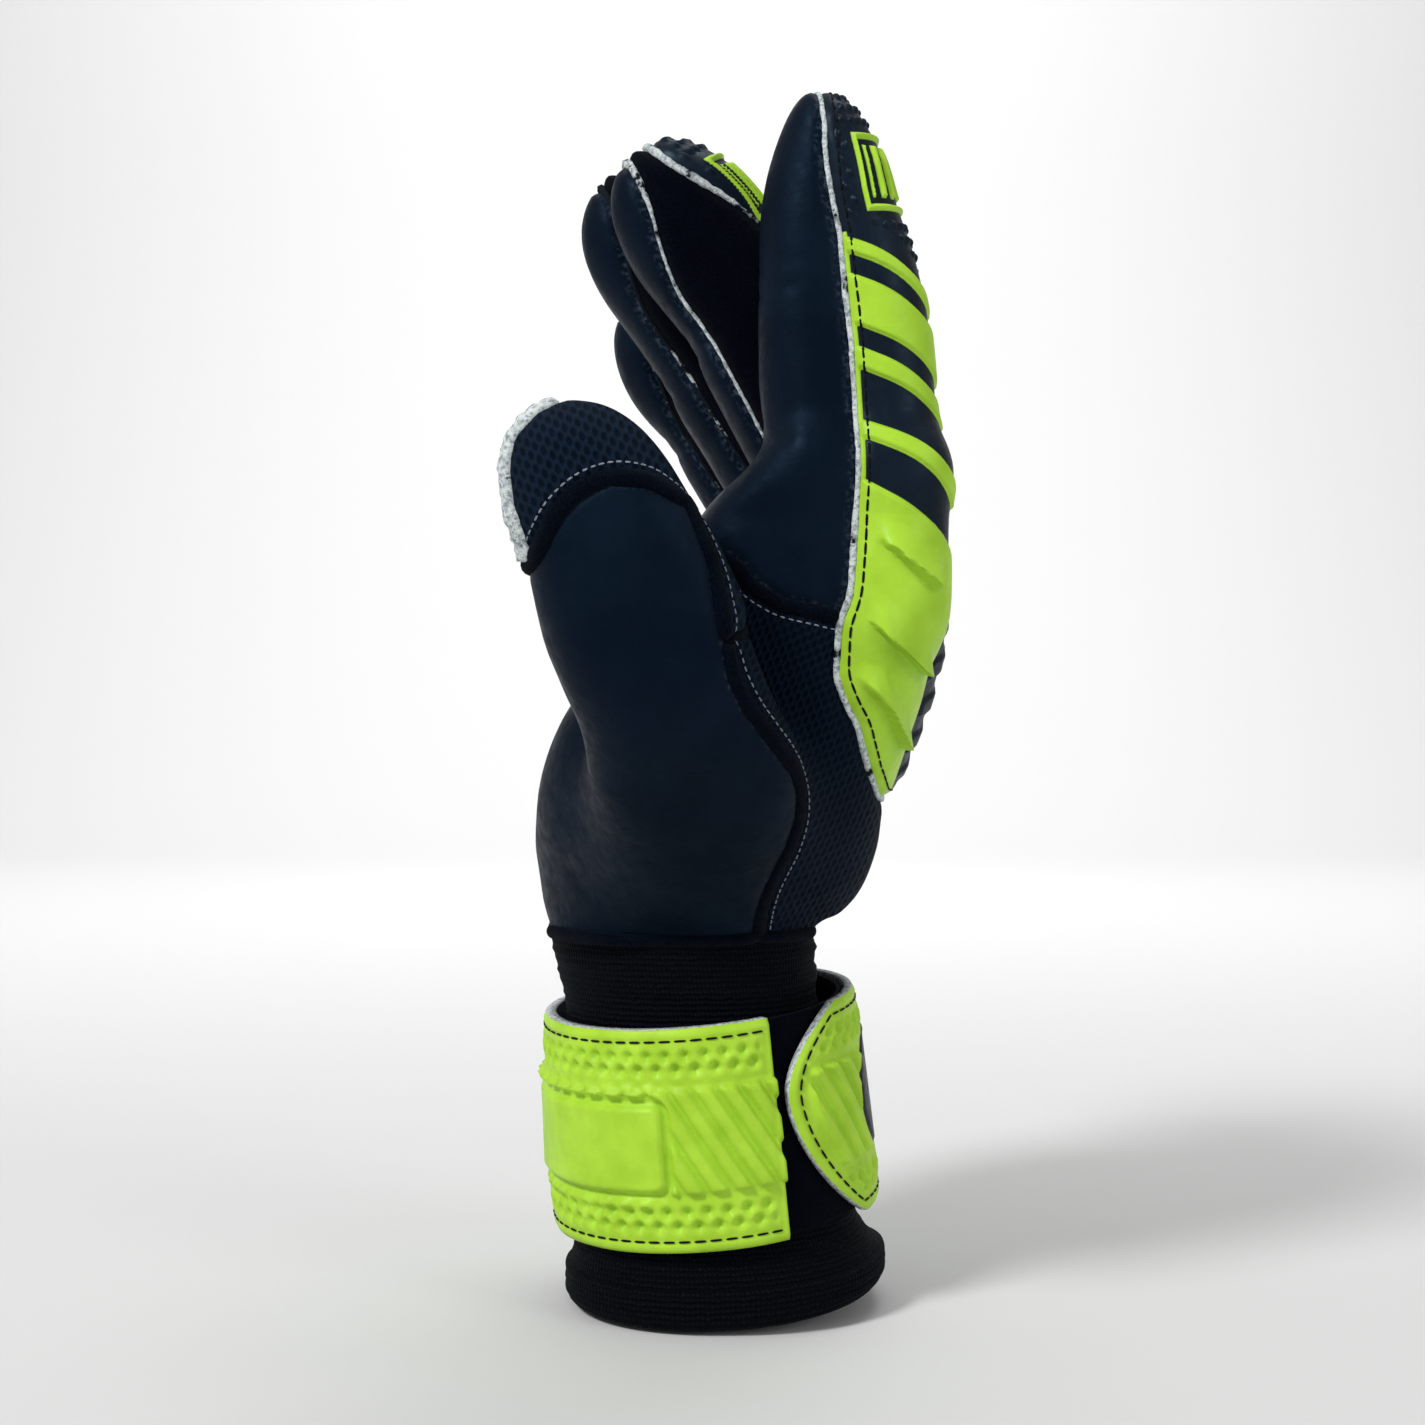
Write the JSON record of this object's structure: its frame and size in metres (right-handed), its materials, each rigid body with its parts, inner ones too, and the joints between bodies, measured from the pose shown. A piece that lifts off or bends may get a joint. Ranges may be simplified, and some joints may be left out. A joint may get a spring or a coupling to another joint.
{
  "type": "goalkeeper glove",
  "caption": "Right-hand goalkeeper glove with padded latex palm, mesh gussets, finger spines inside, an elastic cuff and a wrap-round wrist strap.",
  "frame": {"origin": "centre of the cuff's lower opening, on the plane the cuff stands on", "axes": "+Z from the cuff to the fingertips, +X towards the back of the hand, -X towards the palm, -Y towards the thumb, +Y towards the little finger"},
  "size_m": [0.0911, 0.1362, 0.2655],
  "materials": {
    "latex": "matte",
    "back": "satin",
    "neon": "satin",
    "mesh": "matte",
    "knit": "matte",
    "loop": "matte",
    "foam": "matte",
    "spine": "satin"
  },
  "bodies": {
    "hand": {"palm_latex": "latex", "back_panel": "back", "thumb_side_mesh": "mesh", "little_side_mesh": "mesh", "backhand_pad": "foam", "thumb_root_latex": "latex", "cuff_sleeve": "knit", "cuff_hem": "knit", "wrist_binding": "knit", "strap_band": "neon", "strap_loop_strip": "loop", "spine_roots": "spine"},
    "index_finger_lower": {"index_lower_palm": "latex", "index_lower_back": "back", "index_lower_gusset": "mesh", "index_lower_spine": "spine", "index_base_sleeve": "back"},
    "index_finger_upper": {"index_upper_palm": "latex", "index_upper_back": "back", "index_upper_gusset": "mesh", "index_upper_spine": "spine", "index_mid_sleeve": "back"},
    "middle_finger_lower": {"middle_lower_palm": "latex", "middle_lower_back": "back", "middle_lower_gusset": "mesh", "middle_lower_spine": "spine", "middle_base_sleeve": "back"},
    "middle_finger_upper": {"middle_upper_palm": "latex", "middle_upper_back": "back", "middle_upper_gusset": "mesh", "middle_upper_spine": "spine", "middle_mid_sleeve": "back"},
    "ring_finger_lower": {"ring_lower_palm": "latex", "ring_lower_back": "back", "ring_lower_gusset": "mesh", "ring_lower_spine": "spine", "ring_base_sleeve": "back"},
    "ring_finger_upper": {"ring_upper_palm": "latex", "ring_upper_back": "back", "ring_upper_gusset": "mesh", "ring_upper_spine": "spine", "ring_mid_sleeve": "back"},
    "little_finger_lower": {"little_lower_palm": "latex", "little_lower_back": "back", "little_lower_gusset": "mesh", "little_lower_spine": "spine", "little_base_sleeve": "back"},
    "little_finger_upper": {"little_upper_palm": "latex", "little_upper_back": "back", "little_upper_gusset": "mesh", "little_upper_spine": "spine", "little_mid_sleeve": "back"},
    "thumb_lower": {"thumb_lower_pad": "latex", "thumb_lower_cover": "latex", "thumb_base_sleeve": "back"},
    "thumb_upper": {"thumb_upper_pad": "latex", "thumb_upper_cover": "mesh", "thumb_mid_sleeve": "back"},
    "strap": {"closure_strap": "neon", "hook_patch": "spine"}
  },
  "joints": [
    {"name": "index_base_knuckle", "type": "hinge", "parent": "hand", "child": "index_finger_lower", "pos_m": [0.027, -0.0387, 0.188], "axis": [0, -1, 0], "range_deg": [-3, 50], "deforming": ["index_base_sleeve"]},
    {"name": "index_middle_knuckle", "type": "hinge", "parent": "index_finger_lower", "child": "index_finger_upper", "pos_m": [0.02108, -0.0387, 0.22457], "axis": [0, -1, 0], "range_deg": [-5, 55], "deforming": ["index_mid_sleeve"]},
    {"name": "middle_base_knuckle", "type": "hinge", "parent": "hand", "child": "middle_finger_lower", "pos_m": [0.025, -0.0129, 0.188], "axis": [0, -1, 0], "range_deg": [-28, 38], "deforming": ["middle_base_sleeve"]},
    {"name": "middle_middle_knuckle", "type": "hinge", "parent": "middle_finger_lower", "child": "middle_finger_upper", "pos_m": [0.00287, -0.0129, 0.22114], "axis": [0, -1, 0], "range_deg": [-10, 50], "deforming": ["middle_mid_sleeve"]},
    {"name": "ring_base_knuckle", "type": "hinge", "parent": "hand", "child": "ring_finger_lower", "pos_m": [0.0215, 0.0129, 0.186], "axis": [0, -1, 0], "range_deg": [-32, 36], "deforming": ["ring_base_sleeve"]},
    {"name": "ring_middle_knuckle", "type": "hinge", "parent": "ring_finger_lower", "child": "ring_finger_upper", "pos_m": [-0.00248, 0.0129, 0.21684], "axis": [0, -1, 0], "range_deg": [-5, 50], "deforming": ["ring_mid_sleeve"]},
    {"name": "little_base_knuckle", "type": "hinge", "parent": "hand", "child": "little_finger_lower", "pos_m": [0.017, 0.0378, 0.181], "axis": [0, -1, 0], "range_deg": [-32, 36], "deforming": ["little_base_sleeve"]},
    {"name": "little_middle_knuckle", "type": "hinge", "parent": "little_finger_lower", "child": "little_finger_upper", "pos_m": [-0.00315, 0.0378, 0.20573], "axis": [0, -1, 0], "range_deg": [-10, 50], "deforming": ["little_mid_sleeve"]},
    {"name": "thumb_base_knuckle", "type": "hinge", "parent": "hand", "child": "thumb_lower", "pos_m": [-0.015, -0.065, 0.138], "axis": [0.9744, -0.0334, 0.2224], "range_deg": [-12, 8], "deforming": ["thumb_base_sleeve"]},
    {"name": "thumb_middle_knuckle", "type": "hinge", "parent": "thumb_lower", "child": "thumb_upper", "pos_m": [-0.022, -0.0695, 0.168], "axis": [0.9352, -0.0183, 0.3538], "range_deg": [-30, 8], "deforming": ["thumb_mid_sleeve"]},
    {"name": "strap_closure", "type": "hinge", "parent": "hand", "child": "strap", "pos_m": [0.0132, 0.0356, 0.045], "axis": [-0.0872, 0, 0.9962], "range_deg": [0, 110]}
  ]
}
